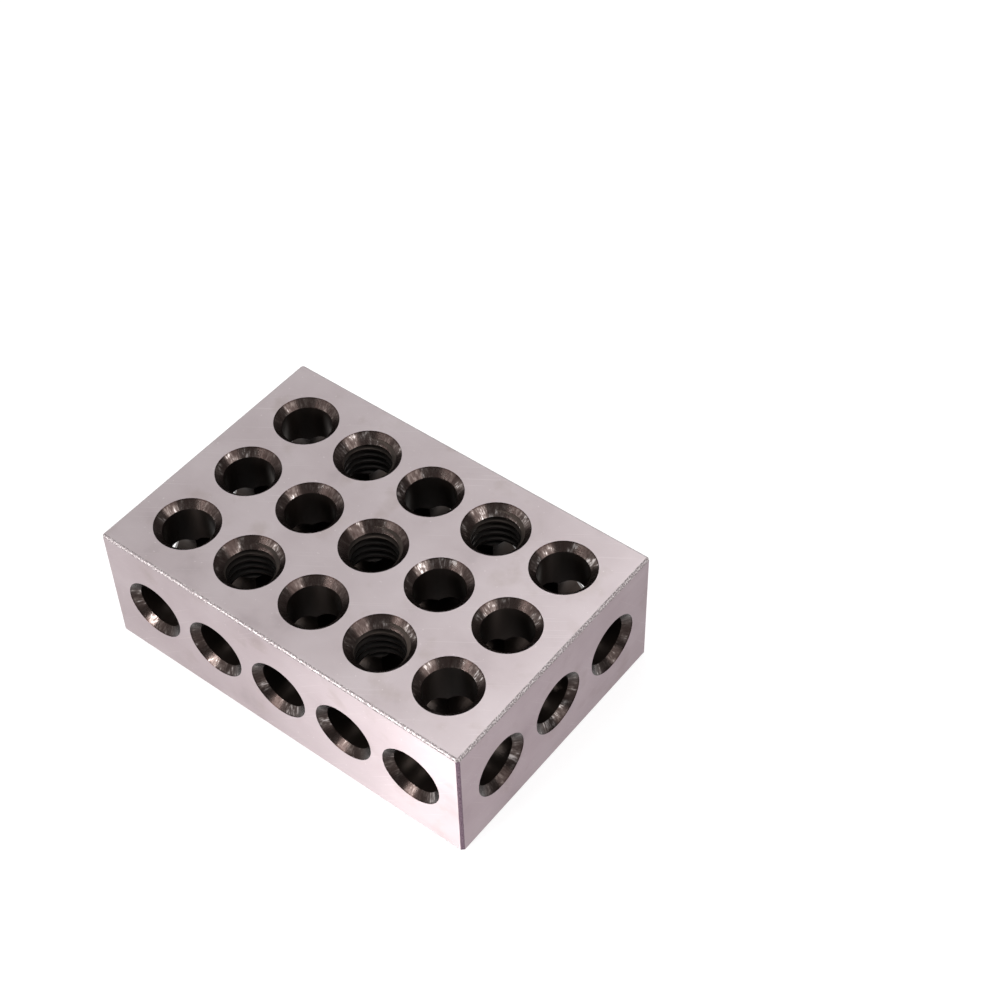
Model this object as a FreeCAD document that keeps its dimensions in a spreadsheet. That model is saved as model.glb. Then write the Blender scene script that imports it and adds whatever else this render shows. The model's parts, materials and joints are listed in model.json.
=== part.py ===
import FreeCAD, Part
import os

import Sketcher

# Machinist's 1-2-3 setup block: hardened steel, ground on all six faces, 3 x 2 x 1 inches.
# It stands on one of its two largest faces, with its length along X, its width along Y and
# its height along Z, and its origin is the middle of the face it stands on.
#
# Twenty-three holes go right through it along the three axes.  They share one grid, so each
# side hole crosses the upright holes half-way up.  Every hole is countersunk at both ends.
# Five of the fifteen upright holes, placed like the five on a die, have the drill size of an
# M10 x 1.5 tap.  The other eighteen holes let an M8 or 5/16 inch screw pass.

# Driving sizes, in millimetres and degrees
SIZES = {
    "block_length": 76.2,
    "block_width": 50.8,
    "block_height": 25.4,
    "edge_chamfer": 0.5,
    "long_pitch": 14.0,
    "cross_pitch": 15.0,
    "clear_bore": 9.0,
    "clear_sink_depth": 1.3,
    "tap_drill_bore": 8.5,
    "tapped_sink_depth": 1.7,
    "sink_angle": 90.0,
}

NODE = "setup_block"

# Where the holes stand on the grid, in steps of the two pitches from the middle
COLUMNS = range(-2, 3)
ROWS = range(-1, 2)
TAPPED = [(-1, -1), (1, -1), (0, 0), (-1, 1), (1, 1)]
CLEAR = [(column, row) for column in COLUMNS for row in ROWS if (column, row) not in TAPPED]

# Sketcher's own name for a sketch's origin
ORIGIN = (-1, 1)


def make_sheet(doc):
    """Put the driving sizes in a spreadsheet, each under an alias of its own name."""
    sheet = doc.addObject("Spreadsheet::Sheet", "Sizes")
    for row, (name, value) in enumerate(SIZES.items(), start=1):
        sheet.set(f"A{row}", name)
        sheet.set(f"B{row}", str(value))
        sheet.setAlias(f"B{row}", name)
    doc.recompute()


def origin_plane(body, role):
    """Find one of a body's own origin planes by its role, such as XY_Plane."""
    return next(item for item in body.Origin.OriginFeatures if item.Role == role)


def add_sketch(body, name, role, offset=None):
    """Add a sketch on an origin plane, or parallel to it at the distance that offset gives."""
    sketch = body.newObject("Sketcher::SketchObject", name)
    sketch.AttachmentSupport = [(origin_plane(body, role), "")]
    sketch.MapMode = "FlatFace"
    if offset:
        sketch.setExpression("AttachmentOffset.Base.z", offset)
    return sketch


def bind(sketch, constraint, name, expression):
    """Add a constraint under a name and drive its value from the sheet."""
    index = sketch.addConstraint(constraint)
    sketch.renameConstraint(index, name)
    sketch.setExpression(f"Constraints.{name}", expression)


def line_start(line):
    """Sketcher's name for the first end of a line."""
    return line, 1


def line_end(line):
    """Sketcher's name for the second end of a line."""
    return line, 2


def circle_centre(circle):
    """Sketcher's name for the centre of a circle."""
    return circle, 3


def sketch_outline(body):
    """Draw the block's plan, a rectangle centred on the origin."""
    sketch = add_sketch(body, "OutlineSketch", "XY_Plane")
    x, y = SIZES["block_length"] / 2, SIZES["block_width"] / 2
    corners = [FreeCAD.Vector(*corner) for corner in ((-x, -y), (x, -y), (x, y), (-x, y))]
    front, right, back, left = (
        sketch.addGeometry(Part.LineSegment(start, end))
        for start, end in zip(corners, corners[1:] + corners[:1])
    )
    for line, following in ((front, right), (right, back), (back, left), (left, front)):
        joined = Sketcher.Constraint("Coincident", *line_end(line), *line_start(following))
        sketch.addConstraint(joined)
    for line in (front, back):
        sketch.addConstraint(Sketcher.Constraint("Horizontal", line))
    for line in (right, left):
        sketch.addConstraint(Sketcher.Constraint("Vertical", line))
    centred = Sketcher.Constraint("Symmetric", *line_start(front), *line_end(right), *ORIGIN)
    sketch.addConstraint(centred)
    length = Sketcher.Constraint(
        "DistanceX", *line_start(front), *line_end(front), SIZES["block_length"]
    )
    width = Sketcher.Constraint(
        "DistanceY", *line_start(right), *line_end(right), SIZES["block_width"]
    )
    bind(sketch, length, "length", "Sizes.block_length")
    bind(sketch, width, "width", "Sizes.block_width")
    return sketch


def add_blank(body):
    """Add the plain block, centred on the origin, with all twelve of its edges broken."""
    blank = body.newObject("PartDesign::Pad", "Blank")
    blank.Profile = sketch_outline(body)
    blank.SideType = "Symmetric"
    blank.setExpression("Length", "Sizes.block_height")
    body.Document.recompute()
    edges = body.newObject("PartDesign::Chamfer", "BrokenEdges")
    edges.Base = (blank, [""])
    edges.UseAllEdges = True
    edges.setExpression("Size", "Sizes.edge_chamfer")
    body.Document.recompute()


def hold_centre(sketch, circle, direction, level, steps, pitch):
    """Hold a circle's centre level with the sketch's origin, or a number of pitches from it."""
    centre = circle_centre(circle)
    if steps == 0:
        sketch.addConstraint(Sketcher.Constraint(level, *ORIGIN, *centre))
        return
    distance = Sketcher.Constraint(direction, *ORIGIN, *centre, steps * SIZES[pitch])
    bind(sketch, distance, f"{direction}{circle}", f"{steps} * Sizes.{pitch}")


def sketch_holes(body, name, plane, through, pitches, places, bore):
    """Draw the circles of one set of holes on the face of the block that it is drilled from."""
    sketch = add_sketch(body, name, plane, f"Sizes.{through} / 2")
    across, along = pitches
    for circle, (column, row) in enumerate(places):
        centre = FreeCAD.Vector(column * SIZES[across], row * SIZES[along], 0)
        sketch.addGeometry(Part.Circle(centre, FreeCAD.Vector(0, 0, 1), SIZES[bore] / 2))
        hold_centre(sketch, circle, "DistanceX", "Vertical", column, across)
        hold_centre(sketch, circle, "DistanceY", "Horizontal", row, along)
        if circle:
            sketch.addConstraint(Sketcher.Constraint("Equal", 0, circle))
    bind(sketch, Sketcher.Constraint("Diameter", 0, SIZES[bore]), "bore", f"Sizes.{bore}")
    return sketch


def drill(body, name, plane, through, pitches, places, bore, sink_depth):
    """Drill a set of holes through the block and countersink both of their ends."""
    sketch = sketch_holes(body, f"{name}Sketch", plane, through, pitches, places, bore)
    body.Document.recompute()
    holes = body.newObject("PartDesign::Hole", f"{name}Holes")
    holes.Profile = sketch
    body.Document.recompute()
    holes.DepthType = "ThroughAll"
    holes.setExpression("Diameter", f"Sizes.{bore}")
    holes.HoleCutType = "Countersink"
    holes.HoleCutCustomValues = True
    holes.setExpression("HoleCutCountersinkAngle", "Sizes.sink_angle")
    widening = f"2 * Sizes.{sink_depth} * tan(Sizes.sink_angle * 1 deg / 2)"
    holes.setExpression("HoleCutDiameter", f"Sizes.{bore} + {widening}")
    body.Document.recompute()
    far_ends = body.newObject("PartDesign::Mirrored", f"{name}FarEnds")
    far_ends.Originals = [holes]
    far_ends.MirrorPlane = (origin_plane(body, plane), [""])
    body.Tip = far_ends
    body.Document.recompute()


def make_block(doc):
    """Build the block's body and stand it on the ground."""
    body = doc.addObject("PartDesign::Body", NODE)
    body.Label = NODE
    add_blank(body)
    upright = {"plane": "XY_Plane", "through": "block_height"}
    upright["pitches"] = ("long_pitch", "cross_pitch")
    clear = {"bore": "clear_bore", "sink_depth": "clear_sink_depth"}
    tapped = {"bore": "tap_drill_bore", "sink_depth": "tapped_sink_depth"}
    drill(body, "UprightClear", places=CLEAR, **upright, **clear)
    drill(body, "UprightTapped", places=TAPPED, **upright, **tapped)
    drill(
        body,
        "Crosswise",
        plane="XZ_Plane",
        through="block_width",
        pitches=("long_pitch", "cross_pitch"),
        places=[(column, 0) for column in COLUMNS],
        **clear,
    )
    drill(
        body,
        "Lengthwise",
        plane="YZ_Plane",
        through="block_length",
        pitches=("cross_pitch", "cross_pitch"),
        places=[(row, 0) for row in ROWS],
        **clear,
    )
    body.setExpression("Placement.Base.z", "Sizes.block_height / 2")
    doc.recompute()
    return body


def check(doc, body):
    """Stop if a feature failed, took nothing off the block, or left more than one solid."""
    for item in doc.Objects:
        if {"Invalid", "Error"} & set(item.State):
            raise RuntimeError(f"{item.Name} failed: {item.State}")
    cuts = [item for item in body.Group if hasattr(item, "AddSubShape") and item.BaseFeature]
    for cut in cuts:
        if not cut.Shape.Volume < cut.BaseFeature.Shape.Volume - 1:
            raise RuntimeError(f"{cut.Name} took nothing off the block")
    shape = body.Shape
    if shape.isNull() or not shape.isValid() or len(shape.Solids) != 1:
        raise RuntimeError(f"{body.Label} isn't one valid solid")


def main():
    doc = FreeCAD.newDocument("SetupBlock")
    make_sheet(doc)
    body = make_block(doc)
    check(doc, body)
    os.makedirs("parts", exist_ok=True)
    body.Shape.exportStep(f"parts/{body.Label}.step")


main()
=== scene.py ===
# %% [markdown]
# # A machinist's setup block
# This is a block of hardened steel, three inches by two by one, ground flat and square on
# all six faces.  Machinists stand work on such blocks and bolt things to them, so it is
# bored right through on three axes, and five of its holes are threaded.  The lesson builds
# it as the workshop does: saw a blank, break its edges, drill it, tap it, and then look at
# what each of those jobs leaves on the steel.

# %% Load the measured model
import json
import math

import bmesh
import bpy
from mathutils import Matrix, Vector


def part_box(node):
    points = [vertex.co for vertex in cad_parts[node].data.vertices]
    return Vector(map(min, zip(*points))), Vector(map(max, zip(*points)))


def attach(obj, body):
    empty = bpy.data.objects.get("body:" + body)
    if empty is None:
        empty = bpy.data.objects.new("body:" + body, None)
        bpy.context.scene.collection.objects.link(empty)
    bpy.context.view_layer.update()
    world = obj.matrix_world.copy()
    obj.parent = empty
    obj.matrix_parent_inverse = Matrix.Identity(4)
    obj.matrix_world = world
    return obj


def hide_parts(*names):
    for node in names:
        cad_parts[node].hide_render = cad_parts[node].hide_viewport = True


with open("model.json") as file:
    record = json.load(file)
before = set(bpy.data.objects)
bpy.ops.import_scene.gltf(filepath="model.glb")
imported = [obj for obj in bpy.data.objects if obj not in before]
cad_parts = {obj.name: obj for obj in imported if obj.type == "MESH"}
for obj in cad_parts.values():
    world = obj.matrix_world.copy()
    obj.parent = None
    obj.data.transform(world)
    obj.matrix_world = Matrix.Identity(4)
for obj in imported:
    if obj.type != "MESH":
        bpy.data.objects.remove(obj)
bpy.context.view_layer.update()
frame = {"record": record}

MM = 0.001
block_low, block_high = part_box("setup_block")
block_size = block_high - block_low
block_middle = (block_low + block_high) / 2
print("block, mm:", [round(side / MM, 2) for side in block_size])

# %% [markdown]
# ## Where the holes are
# The measured model states each hole as a mount: a point on its axis, the axis, the wall's
# radius and how long that wall is.  A hole goes right through, so whatever part of the
# block's thickness isn't wall is countersink, half of it at each end.  Reading the mounts
# keeps every hole exactly where the solid has it.

# %% Read the holes
def read_hole(mount):
    """A hole's centre, direction, radii and depths, from its mount."""
    along = Vector(mount["axis"])
    half_depth = abs(block_size.dot(along)) / 2
    offset = Vector(mount["pos_m"]) - block_middle
    sink_depth = half_depth - mount["dims"]["length_mm"] * MM / 2
    return {
        "centre": block_middle + offset - along * offset.dot(along),
        "along": along,
        "half_depth": half_depth,
        "radius": mount["dims"]["r_mm"] * MM,
        "sink_depth": sink_depth,
        "tapped": mount["kind"] == "threaded_hole",
    }


ROUND_KINDS = ("bore", "threaded_hole")
mounts = frame["record"]["mounts"]
holes = [read_hole(mount) for mount in mounts if mount["kind"] in ROUND_KINDS]
print("holes:", len(holes), "of them tapped:", sum(hole["tapped"] for hole in holes))

# %% [markdown]
# ## The blank
# The real block starts as a sawn and ground bar.  Grinding leaves edges sharp enough to cut
# a hand, so each one is broken with a 45 degree chamfer about half a millimetre wide.  A
# bmesh cube, stretched to size and bevelled with one segment, is exactly that.  The bevel's
# new faces get the second material, because a chamfer is filed and not ground.

# %% Make the blank
EDGE_BREAK = 0.5 * MM
GROUND, FILED, SINK, WALL, THREAD = range(5)


def finished(mesh_data, bm):
    """Write a bmesh into a mesh and free it."""
    bm.to_mesh(mesh_data)
    bm.free()
    return mesh_data


def new_piece(name, bm):
    """A new object at the origin whose mesh is the bmesh."""
    piece = bpy.data.objects.new(name, finished(bpy.data.meshes.new(name), bm))
    bpy.context.scene.collection.objects.link(piece)
    return piece


bm = bmesh.new()
to_size = Matrix.Translation(block_middle) @ Matrix.Diagonal((*block_size, 1))
bmesh.ops.create_cube(bm, size=1, matrix=to_size)
bevelled = bmesh.ops.bevel(
    bm, geom=bm.edges[:], offset=EDGE_BREAK, offset_type="OFFSET", affect="EDGES",
    segments=1, profile=0.5, material=-1,
)
for face in bevelled["faces"]:
    face.material_index = FILED
block = new_piece("setup_block_steel", bm)
print("blank faces:", len(block.data.polygons))

# %% [markdown]
# ## Drilling and countersinking
# A cutter has the shape of the air that the drill and the countersink leave: a bore that
# opens into a 45 degree cone at both ends.  Its outline is a few points beside the axis, and
# one spin makes it round.  The cones run on past the block's faces, so that each face is cut
# through cleanly.

# %% Make the cutters
AROUND = 96
PAST_FACE = 1.0 * MM
SAME_POINT = 0.0001 * MM
# A wall's faces look level, and a cone's look half-way up or down
LEVEL_LOOK = 0.1


def turn_to(hole):
    """The matrix that stands a shape made along Z at a hole."""
    turn = Vector((0, 0, 1)).rotation_difference(hole["along"]).to_matrix().to_4x4()
    return Matrix.Translation(hole["centre"]) @ turn


def turn_share(point):
    """How far round the Z axis a point lies, as a share of a whole turn."""
    return math.atan2(point.y, point.x) / math.tau % 1


def map_round(part, number, half_depth):
    """Map a round shape: across, its number and the share of a turn; up, how deep it lies."""
    around = part.loops.layers.uv.new("around_hole")
    for face in part.faces:
        middle = face.calc_center_median()
        far_end = len(holes) if middle.z < 0 else 0
        for loop in face.loops:
            share = turn_share(loop.vert.co)
            share += round(turn_share(middle) - share)
            loop[around].uv = (number + far_end + share, half_depth - abs(loop.vert.co.z))


def add_to(bm, part, number, hole):
    """Map one round shape, stand it at its hole and add it to a mesh of them."""
    map_round(part, number, hole["half_depth"])
    part.transform(turn_to(hole))
    shell = bpy.data.meshes.new("shell")
    bm.from_mesh(finished(shell, part))
    bpy.data.meshes.remove(shell)


def spin_outline(bm, outline):
    """Spin a radius and height outline round the Z axis, closed at its poles."""
    points = [bm.verts.new((radius, 0, height)) for radius, height in outline]
    edges = [bm.edges.new(pair) for pair in zip(points, points[1:])]
    spun = points + edges
    bmesh.ops.spin(
        bm, geom=spun, cent=(0, 0, 0), axis=(0, 0, 1), angle=math.tau, steps=AROUND, use_merge=True
    )
    bmesh.ops.remove_doubles(bm, verts=bm.verts[:], dist=SAME_POINT)
    bmesh.ops.recalc_face_normals(bm, faces=bm.faces[:])


def add_cutter(bm, number, hole):
    """Add one drill and countersink shape to a mesh of cutters."""
    wall_end = hole["half_depth"] - hole["sink_depth"]
    mouth = hole["radius"] + hole["sink_depth"] + PAST_FACE
    top = hole["half_depth"] + PAST_FACE
    outline = [(0, -top), (mouth, -top), (hole["radius"], -wall_end)]
    outline += [(radius, -height) for radius, height in reversed(outline)]
    part = bmesh.new()
    spin_outline(part, outline)
    for face in part.faces:
        is_wall = abs(face.normal.z) < LEVEL_LOOK
        face.material_index = WALL if is_wall else SINK
    add_to(bm, part, number, hole)


def same_way(direction):
    """The numbers of the holes that run along one of the block's axes."""
    return [number for number, hole in enumerate(holes) if abs(hole["along"][direction]) > 0.5]


cutters = []
for direction, name in enumerate(("lengthwise", "crosswise", "upright")):
    bm = bmesh.new()
    for number in same_way(direction):
        add_cutter(bm, number, holes[number])
    cutters.append(new_piece(f"{name}_cutter", bm))
    print(name, "cutters:", len(same_way(direction)))

# %% [markdown]
# ## The taps
# Five upright holes carry an M10 x 1.5 thread: 10 mm across its roots, climbing 1.5 mm a
# turn, with flanks at 60 degrees to each other.  A spin can climb while it turns, so the
# tap's tooth is drawn once beside the axis and spun upwards, one pitch a turn.  The tooth's
# foot stands in the open bore, and its tip has the small flat that a real tap has.

# %% Make the taps
THREAD_PITCH = 1.5 * MM
THREAD_RADIUS = 5.0 * MM
TIP_FLAT = THREAD_PITCH / 8
HALF_FLANK_ANGLE = math.radians(30)
FLANK_SLOPE = math.tan(HALF_FLANK_ANGLE)
INSIDE_WALL = 0.3 * MM


def add_tap(bm, number, hole):
    """Add one climbing tooth, long enough for the whole hole, to a mesh of taps."""
    part = bmesh.new()
    foot = hole["radius"] - INSIDE_WALL
    foot_half = TIP_FLAT / 2 + FLANK_SLOPE * (THREAD_RADIUS - foot)
    section = [
        (foot, -foot_half),
        (THREAD_RADIUS, -TIP_FLAT / 2),
        (THREAD_RADIUS, TIP_FLAT / 2),
        (foot, foot_half),
    ]
    start = -hole["half_depth"] - THREAD_PITCH
    turns = math.ceil(-2 * start / THREAD_PITCH)
    corners = [part.verts.new((radius, 0, start + height)) for radius, height in section]
    tooth = part.faces.new(corners)
    bmesh.ops.spin(
        part, geom=[tooth], cent=(0, 0, 0), axis=(0, 0, 1), angle=math.tau * turns,
        steps=AROUND * turns, dvec=(0, 0, THREAD_PITCH / AROUND),
    )
    bmesh.ops.recalc_face_normals(part, faces=part.faces[:])
    for face in part.faces:
        face.material_index = THREAD
    add_to(bm, part, number, hole)


bm = bmesh.new()
for number, hole in enumerate(holes):
    if hole["tapped"]:
        add_tap(bm, number, hole)
cutters.append(new_piece("taps", bm))
print("tap faces:", len(cutters[-1].data.polygons))

# %% [markdown]
# ## Cutting it
# Each set of cutters is taken away from the block by a Boolean modifier.  The Manifold solver
# is quick and exact on closed meshes, and it hands each cut face the cutter's own material
# and map, so the walls know which hole they are in and how far round it they lie.

# %% Cut the block
for cutter in cutters:
    cut = block.modifiers.new(cutter.name, "BOOLEAN")
    cut.object = cutter
    cut.operation = "DIFFERENCE"
    cut.solver = "MANIFOLD"
graph = bpy.context.evaluated_depsgraph_get()
drilled = bpy.data.meshes.new_from_object(block.evaluated_get(graph))
block.modifiers.clear()
block.data = drilled
for cutter in cutters:
    bpy.data.objects.remove(cutter)

# %% [markdown]
# ## Welding the cuts
# Where two cuts almost meet, the solver leaves corners less than a micron apart, which are
# merged.  Faces with many corners are then split along short diagonals, so that none folds
# back on itself.  Smooth shading follows, but stops at every edge sharper than the crease.

# %% Weld the cuts
WELD = 0.001 * MM
CREASE = math.radians(25)

bm = bmesh.new()
bm.from_mesh(block.data)
bmesh.ops.remove_doubles(bm, verts=bm.verts[:], dist=WELD)
bmesh.ops.triangulate(bm, faces=bm.faces[:], ngon_method="BEAUTY")
print("edges without two faces:", sum(not edge.is_manifold for edge in bm.edges))
finished(block.data, bm)
block.data.shade_smooth()
block.data.set_sharp_from_angle(angle=CREASE)
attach(block, "root")
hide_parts("setup_block")
print("block faces:", len(block.data.polygons))

# %% [markdown]
# ## Tools for materials
# Every finish below is worked out from where a point lies on the block.  Most of them need
# the same few things: a colour written the way people write it, a node added with its inputs
# in one line, and a noise whose grains have a real size in millimetres.

# %% Colours and nodes
BLACK = (0, 0, 0, 1)
WHITE = (1, 1, 1, 1)


def linear(code):
    """A colour from its sRGB hex code, as the linear numbers that shaders use."""
    channels = [int(code[i:i + 2], 16) / 255 for i in (1, 3, 5)]
    curved = [c / 12.92 if c <= 0.04045 else ((c + 0.055) / 1.055) ** 2.4 for c in channels]
    return (*curved, 1)


def fill(material, node, **inputs):
    """Set or link a node's inputs by name, or by place as _0, _1 and so on."""
    for name, value in inputs.items():
        key = name.replace("_", " ").strip()
        socket = node.inputs[int(key) if key.isdigit() else key]
        if isinstance(value, bpy.types.NodeSocket):
            material.node_tree.links.new(value, socket)
        else:
            socket.default_value = value
    return node


def add_node(material, kind, settings=None, **inputs):
    """Add a node: its settings by name, and its inputs, each a value or a link."""
    node = material.node_tree.nodes.new("ShaderNode" + kind)
    for name, value in (settings or {}).items():
        setattr(node, name, value)
    return fill(material, node, **inputs)


def new_material(name):
    """An empty node material and its one Principled shader."""
    material = bpy.data.materials.new(name)
    material.use_nodes = True
    return material, material.node_tree.nodes["Principled BSDF"]


# %% Noise with a real size
def grain(material, place, size, detail=2.0):
    """Noise from 0 to 1 whose grains have this length along each axis."""
    shrunk = add_node(material, "VectorMath", {"operation": "DIVIDE"}, _0=place, _1=size)
    noise = add_node(material, "TexNoise", Vector=shrunk.outputs[0], Scale=1.0, Detail=detail)
    return noise.outputs["Fac"]


def ramp(material, value, *stops):
    """A colour ramp over a value, from pairs of a position and a hex code."""
    node = add_node(material, "ValToRGB", Fac=value)
    elements = node.color_ramp.elements
    while len(elements) < len(stops):
        elements.new(0.5)
    for element, (position, code) in zip(elements, stops):
        element.position = position
        element.color = linear(code)
    return node.outputs["Color"]


def span(material, value, low, high, start=0.0, end=1.0):
    """A value that runs from start to end, spread over another range."""
    spread = add_node(material, "MapRange", Value=value, _1=start, _2=end, _3=low, _4=high)
    return spread.outputs["Result"]


def blend(material, share, first, second, kind="FLOAT"):
    """A mixture of two numbers, two vectors or two colours."""
    # The Mix node has a pair of inputs and one output for each kind, at these places
    first_place, out = {"FLOAT": (2, 0), "VECTOR": (4, 1), "RGBA": (6, 2)}[kind]
    ends = {f"_{first_place}": first, f"_{first_place + 1}": second}
    return add_node(material, "Mix", {"data_type": kind}, _0=share, **ends).outputs[out]


def tinted(material, colour, tint):
    """A colour multiplied by a tint."""
    settings = {"data_type": "RGBA", "blend_type": "MULTIPLY"}
    return add_node(material, "Mix", settings, _0=1.0, _6=colour, _7=tint).outputs[2]


def sum_of(material, first, second, operation="ADD"):
    """Two numbers added, or joined by another of the Math node's operations."""
    return add_node(material, "Math", {"operation": operation}, _0=first, _1=second).outputs[0]


def facing(material):
    """How squarely a face looks along each axis, from 0 to 1, whichever way along it."""
    normal = add_node(material, "NewGeometry").outputs["True Normal"]
    size = add_node(material, "VectorMath", {"operation": "ABSOLUTE"}, _0=normal)
    return add_node(material, "SeparateXYZ", Vector=size.outputs[0]).outputs


# %% [markdown]
# ## Ground steel
# The six faces come off a surface grinder, whose wheel leaves hair-fine lines all one way:
# along the length on four faces, and across the two ends.  Light that falls on such lines
# spreads wide across them and stays narrow along them.  That is anisotropy: the highlight
# runs along the tangent, so the tangent is square to the lines.  The real lines lie a few
# hundredths of a millimetre apart, too close to draw, so these are a broader stand-in.

# %% Ground steel
LINE_LENGTH, LINE_WIDTH = 17 * MM, 0.45 * MM
CLOUD, SMEAR = 11 * MM, 6 * MM
SPECK = 0.5 * MM
SCRATCH_LENGTH, SCRATCH_WIDTH = 14 * MM, 0.15 * MM
SCRATCH_TILT = (0.9, 0.5, 0.6)


def make_ground():
    """Surface-ground tool steel: a soft, streaked sheen with faint clouds and a few specks."""
    material, shader = new_material("ground_steel")
    place = add_node(material, "TexCoord").outputs["Object"]
    along_x, along_y, along_z = facing(material)
    lengthwise = grain(material, place, (LINE_LENGTH, LINE_WIDTH, LINE_WIDTH))
    across = grain(material, place, (LINE_WIDTH, LINE_LENGTH, LINE_WIDTH))
    lines = blend(material, along_x, lengthwise, across)
    # Oil, handling and uneven heat leave clouds a centimetre across
    clouds = grain(material, place, (CLOUD,) * 3, 4.0)
    colour = ramp(material, clouds, (0.28, "#B9ADAF"), (0.38, "#C3B7B9"), (0.7, "#CDC2C4"))
    # Old oil dries into faint tan smears
    smears = grain(material, place, (SMEAR,) * 3, 6.0)
    smeared = span(material, smears, 0, 0.25, 0.58, 0.7)
    colour = blend(material, smeared, colour, linear("#A3948B"), "RGBA")
    # Tiny knocks and hairline scratches lie bright on the satin.  A scratch is where a thin
    # tilted sheet of noise meets the face
    knocks = grain(material, place, (SPECK,) * 3, 0.0)
    askew = add_node(material, "Mapping", Vector=place, Rotation=SCRATCH_TILT).outputs[0]
    sheets = grain(material, askew, (SCRATCH_LENGTH, SCRATCH_LENGTH, SCRATCH_WIDTH), 0.0)
    knocked = span(material, knocks, 0, 0.3, 0.8, 0.84)
    scratched = span(material, sheets, 0, 0.16, 0.74, 0.8)
    worn = sum_of(material, knocked, scratched)
    colour = blend(material, worn, colour, linear("#F2ECEC"), "RGBA")
    # Painted shade: the long sides are painted a touch darker than the top, and the ends darker
    # again and a little bluer, to stand in for how the light falls on each face
    painted_side_shade = blend(material, along_y, WHITE, linear("#EFECED"), "RGBA")
    painted_side_shade = blend(material, along_x, painted_side_shade, linear("#D3CCD0"), "RGBA")
    tangent = blend(material, along_z, (0, 0, 1), (0, 1, 0), "VECTOR")
    bump = add_node(material, "Bump", Strength=0.06, Distance=0.02 * MM, Height=lines)
    fill(
        material, shader, Metallic=1.0, Anisotropic=0.95, Tangent=tangent, Normal=bump.outputs[0],
        Base_Color=tinted(material, colour, painted_side_shade),
        Roughness=span(material, lines, 0.36, 0.44),
    )
    return material


ground_steel = make_ground()
print("made", ground_steel.name)

# %% [markdown]
# ## Filed edges
# The edges are broken by hand with a fine file or a stone, after the heat treatment.  Each
# stroke chips the hard steel a little, so the narrow face is a row of bright ticks.  The
# four upright edges are painted a darker purple-brown, as painted shade.
# A hand never holds a file quite still, so the narrow face is crowned: it curves over from
# one big face to the other, and its highlight is a thin line along the crown.

# %% Filed edges
TICK = 0.25 * MM
TICK_HEIGHT = 0.015 * MM
# How far the crown leans over where it meets a big face, as rise over run
CROWN_SLOPE = 0.9


def crown_height(material, place):
    """How far a crowned edge falls away from its flat, either side of its own middle line."""
    past = add_node(material, "VectorMath", {"operation": "SUBTRACT"}, _0=place, _1=block_middle)
    size = add_node(material, "VectorMath", {"operation": "ABSOLUTE"}, _0=past.outputs[0])
    inside = add_node(
        material, "VectorMath", {"operation": "SUBTRACT"}, _0=block_size / 2, _1=size.outputs[0]
    )
    parts = add_node(material, "SeparateXYZ", Vector=inside.outputs[0]).outputs
    nearest = sum_of(material, parts[0], sum_of(material, parts[1], parts[2], "MINIMUM"), "MINIMUM")
    # On the edge's middle line both faces are half its size away
    aside = sum_of(material, EDGE_BREAK / 2, nearest, "SUBTRACT")
    square = sum_of(material, aside, aside, "MULTIPLY")
    return sum_of(material, square, -CROWN_SLOPE * math.sqrt(2) / EDGE_BREAK, "MULTIPLY")


def make_filed():
    """Hand-filed edges: bright broken ticks on the level ones, a purple painted shade on the
    upright ones.
    """
    material, shader = new_material("filed_steel_edge")
    place = add_node(material, "TexCoord").outputs["Object"]
    level = facing(material)[2]
    ticks = grain(material, place, (TICK,) * 3)
    bright = ramp(material, ticks, (0.42, "#938A8B"), (0.52, "#A99FA0"), (0.62, "#D2CBCB"))
    painted_upright_shade = ramp(material, ticks, (0.36, "#66525F"), (0.7, "#8F7A86"))
    # Painted shade: the upright edges get the darker purple copy, the level ones the bright copy
    colour = blend(material, span(material, level, 0, 1, 0.2, 0.5), painted_upright_shade, bright, "RGBA")
    roughened = sum_of(material, ticks, TICK_HEIGHT, "MULTIPLY")
    height = sum_of(material, crown_height(material, place), roughened)
    bump = add_node(material, "Bump", Strength=1.0, Distance=1.0, Height=height)
    fill(
        material, shader, Metallic=1.0, Base_Color=colour, Normal=bump.outputs[0],
        Roughness=span(material, ticks, 0.65, 0.45, 0.4, 0.6),
    )
    return material


filed_edge = make_filed()
print("made", filed_edge.name)

# %% [markdown]
# ## Coordinates round a hole
# A hole's marks run round it or down it, so its noise needs coordinates that do the same.
# The cutter's map gives the share of a turn and the depth.  The sine and cosine of the turn
# go round without a seam, and each hole's number moves it to a patch of noise of its own.

# %% Coordinates round a hole
ROUND_RADIUS = 5 * MM
HOLE_STEP = 100 * MM


def round_place(material):
    """A place for noise on a hole's wall, how deep it lies, and which hole it is in."""
    around = add_node(material, "UVMap", {"uv_map": "around_hole"})
    parts = add_node(material, "SeparateXYZ", Vector=around.outputs[0])
    turn = sum_of(material, parts.outputs["X"], math.tau, "MULTIPLY")
    waves = [
        add_node(material, "Math", {"operation": wave}, _0=turn).outputs[0]
        for wave in ("COSINE", "SINE")
    ]
    sides = [sum_of(material, wave, ROUND_RADIUS, "MULTIPLY") for wave in waves]
    # The two ends of a hole are numbered apart, the far ones after all the near ones
    end = add_node(material, "Math", {"operation": "FLOOR"}, _0=parts.outputs["X"]).outputs[0]
    shifted = sum_of(material, sides[0], sum_of(material, end, HOLE_STEP, "MULTIPLY"))
    depth = parts.outputs["Y"]
    place = add_node(material, "CombineXYZ", X=shifted, Y=sides[1], Z=depth)
    number = sum_of(material, end, len(holes), "MODULO")
    return place.outputs[0], depth, number


# %% [markdown]
# ## Countersinks
# A countersink is scraped out by a cone-shaped cutter that chatters, so it has fine marks
# straight down the cone.  It is cut before hardening and never ground, so the heat leaves it
# brown-black, and bare steel shines where that scale has flaked off in patches.  The turned
# rings throw a highlight straight up and down the cone, in a wedge that faces the lamp.

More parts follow.
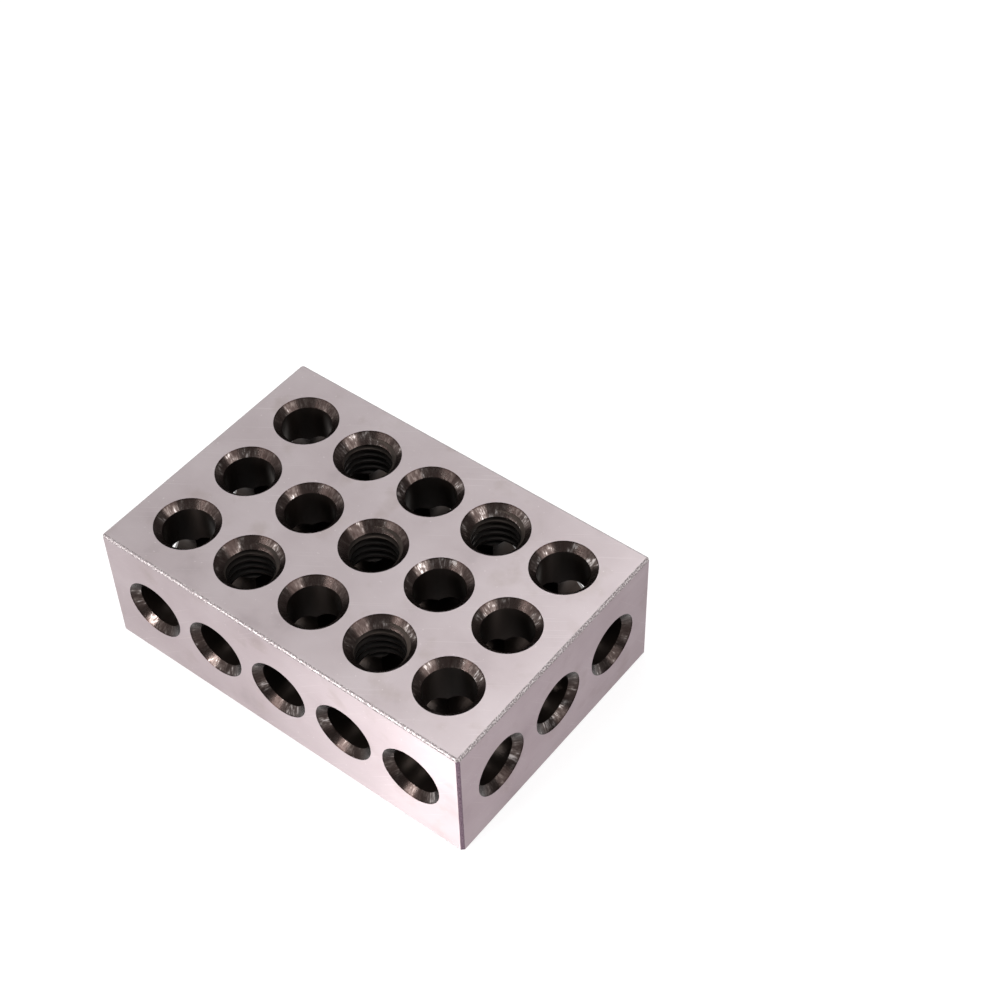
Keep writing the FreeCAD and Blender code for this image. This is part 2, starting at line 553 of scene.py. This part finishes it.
# %% Countersinks
CHATTER_WIDTH, CHATTER_LENGTH = 0.28 * MM, 0.8 * MM
FLAKE, PATCH = 0.7 * MM, 2.5 * MM
RIM_START, RIM_END = 0.05 * MM, 0.25 * MM
SIDE_SINK_SHADE = 0.4


def make_sink():
    """A chattered and heat-blackened countersink: dark brown, and silver where it has flaked."""
    material, shader = new_material("heat_scaled_countersink")
    place, depth, number = round_place(material)
    chatter = grain(material, place, (CHATTER_WIDTH, CHATTER_WIDTH, CHATTER_LENGTH))
    flakes = grain(material, place, (FLAKE,) * 3, 5.0)
    patches = grain(material, place, (PATCH,) * 3)
    marks = blend(material, 0.5, chatter, flakes)
    marks = blend(material, 0.42, marks, patches)
    scale = ramp(
        material, marks, (0.36, "#3D322F"), (0.5, "#4D423F"), (0.57, "#6B605C"), (0.64, "#C9C0BE")
    )
    # The scale lies thickest just below the ground face, as a thin red-brown rim
    rim = span(material, depth, 0.7, 0, RIM_START, RIM_END)
    colour = blend(material, rim, scale, linear("#2E1F1C"), "RGBA")
    # Painted shade: the countersinks of the holes in the sides are painted darker than the upright
    # ones.  The upright holes come first, so a side hole's number is past all of theirs
    sideways = sum_of(material, number, len(same_way(2)) - 0.5, "GREATER_THAN")
    side_sink_shade = sum_of(material, sideways, SIDE_SINK_SHADE, "MULTIPLY")
    colour = blend(material, side_sink_shade, colour, BLACK, "RGBA")
    tangent = add_node(material, "Tangent", {"direction_type": "UV_MAP", "uv_map": "around_hole"})
    bump = add_node(material, "Bump", Strength=0.3, Distance=0.05 * MM, Height=marks)
    fill(
        material, shader, Metallic=1.0, Anisotropic=0.7, Anisotropic_Rotation=0.25,
        Tangent=tangent.outputs[0], Normal=bump.outputs[0], Base_Color=colour,
        Roughness=span(material, marks, 0.34, 0.18, 0.35, 0.65),
    )
    return material


countersunk = make_sink()
print("made", countersunk.name)

# %% [markdown]
# ## Bores and threads
# Below the countersink the drill leaves a smooth wall with faint rings, and quenching scales
# it nearly black.  Its colour is painted lighter brown near the mouth and darker deeper down,
# as painted shade in the hole: strongly on the thread flanks, faintly on the plain walls.

# %% Bores and threads
RING_LENGTH, RING_HEIGHT = 6 * MM, 0.5 * MM
SHADE_START, SHADE_END = 1 * MM, 4.5 * MM


def make_bore(name, mouth, deep):
    """A scaled wall painted darker as it goes down, as painted shade, with faint rings in its
    colour and shine.
    """
    material, shader = new_material(name)
    place, depth, _ = round_place(material)
    # Painted shade: the colour runs from the mouth colour to the darker deep one down the hole
    painted_depth_shade = span(material, depth, 0, 1, SHADE_START, SHADE_END)
    scale = blend(material, painted_depth_shade, linear(mouth), linear(deep), "RGBA")
    rings = grain(material, place, (RING_LENGTH, RING_LENGTH, RING_HEIGHT), 3.0)
    shade = span(material, rings, 0.6, 0, 0.35, 0.65)
    colour = blend(material, shade, scale, BLACK, "RGBA")
    bump = add_node(material, "Bump", Strength=0.15, Distance=0.05 * MM, Height=rings)
    fill(
        material, shader, Metallic=0.8, Base_Color=colour, Normal=bump.outputs[0],
        Roughness=span(material, rings, 0.48, 0.3),
    )
    return material


bore_wall = make_bore("dark_scaled_bore", "#3F3530", "#35302D")
thread_flank = make_bore("black_thread_flank", "#544A44", "#1C1816")
print("made", bore_wall.name, "and", thread_flank.name)

# %% Put the finishes on
finishes = [ground_steel, filed_edge, countersunk, bore_wall, thread_flank]
while len(block.data.materials) < len(finishes):
    block.data.materials.append(None)
for number, finish in enumerate(finishes):
    block.data.materials[number] = finish
print("finishes:", [finish.name for finish in block.data.materials])

# %% [markdown]
# ## The floor
# The block stands on a white sheet.  A matte floor alone would need strong lamps to look
# white, and those would bleach the steel.  So the sheet also glows, but only for rays that
# see it directly, in a reflection or through glass.  Its matte part keeps a soft shadow.

# %% Floor
FLOOR_RADIUS = 3.0
FLOOR_SEGMENTS = 128
SHEET_GLOW = 0.75

bm = bmesh.new()
bmesh.ops.create_circle(bm, cap_ends=True, segments=FLOOR_SEGMENTS, radius=FLOOR_RADIUS)
floor = new_piece("floor", bm)
white, shader = new_material("white_floor")
white.node_tree.nodes.remove(shader)
seen = add_node(white, "LightPath").outputs
mirrored = sum_of(white, seen["Is Glossy Ray"], seen["Is Transmission Ray"], "MAXIMUM")
direct = sum_of(white, seen["Is Camera Ray"], mirrored, "MAXIMUM")
matte = add_node(white, "BsdfDiffuse", Color=linear("#A09F9F"))
glow = add_node(white, "Emission", Strength=sum_of(white, direct, SHEET_GLOW, "MULTIPLY"))
both = add_node(white, "AddShader", _0=matte.outputs[0], _1=glow.outputs[0])
fill(white, white.node_tree.nodes["Material Output"], Surface=both.outputs[0])
floor.data.materials.append(white)
print("floor radius, m:", FLOOR_RADIUS)

# %% [markdown]
# ## The camera
# The camera stands a third of a metre away, above the corner between the front face and the
# right end, so that three faces show and the threads can be seen below their countersinks.

# %% Camera
AZIMUTH, ELEVATION, ROLL = (math.radians(angle) for angle in (38.97, 47.97, -1.632))
CAMERA_PLACE = Vector((154.22, -157.04, 278.76)) * MM
SENSOR_WIDTH, FOCAL_LENGTH = 36.0, 72.94
NEAREST_SEEN = 0.01

camera = bpy.data.objects.new("camera", bpy.data.cameras.new("camera"))
bpy.context.scene.collection.objects.link(camera)
camera.data.sensor_width = SENSOR_WIDTH
camera.data.lens = FOCAL_LENGTH
camera.data.clip_start = NEAREST_SEEN
camera.location = CAMERA_PLACE
turn = Matrix.Rotation(AZIMUTH, 3, "Z") @ Matrix.Rotation(math.pi / 2 - ELEVATION, 3, "X")
camera.rotation_euler = (turn @ Matrix.Rotation(ROLL, 3, "Z")).to_euler()
bpy.context.scene.camera = camera
print("camera distance, mm:", round((camera.location - block_middle).length / MM))

# %% [markdown]
# ## The lamps
# Ground steel is nearly a mirror in one direction, so each face shows the lamp that lies
# where it looks.  The top face looks back and up, and the front face low and to the left.
# The other softboxes and the reflector light the ends and the countersinks, where each draws
# a bright wedge of its own.  A lamp's power grows with its area, so brightness is per area.

# %% Lights
SKY_STRENGTH = 0.34


def add_lamp(name, toward, distance, side, brightness):
    """A square softbox that faces the block, of an even brightness all over it."""
    data = bpy.data.lights.new(name, "AREA")
    data.shape = "SQUARE"
    data.size = side
    data.energy = math.pi * side**2 * brightness
    lamp = bpy.data.objects.new(name, data)
    bpy.context.scene.collection.objects.link(lamp)
    lamp.location = block_middle + Vector(toward).normalized() * distance
    lamp.rotation_euler = Vector(toward).to_track_quat("Z", "Y").to_euler()


# Each lamp's direction from the block, its distance and side in metres, and its brightness
LAMPS = {
    "back_softbox": ((-0.44, 0.44, 0.78), 0.90, 0.80, 0.74),
    "overhead_softbox": ((0.01, -0.02, 1.0), 0.60, 0.36, 2.9),
    "front_softbox": ((-0.14, -0.96, 0.22), 0.32, 0.11, 23.0),
    "left_softbox": ((-0.49, -0.73, 0.44), 0.70, 0.30, 1.8),
    "left_reflector": ((-0.91, -0.38, 0.15), 0.60, 0.50, 0.8),
    "right_softbox": ((0.84, 0.12, 0.50), 0.70, 0.50, 2.4),
}
for name, settings in LAMPS.items():
    add_lamp(name, *settings)
world = bpy.data.worlds.new("studio")
bpy.context.scene.world = world
world.use_nodes = True
sky = world.node_tree.nodes["Background"]
sky.inputs["Color"].default_value = WHITE
sky.inputs["Strength"].default_value = SKY_STRENGTH
bpy.context.scene.view_settings.view_transform = "Standard"
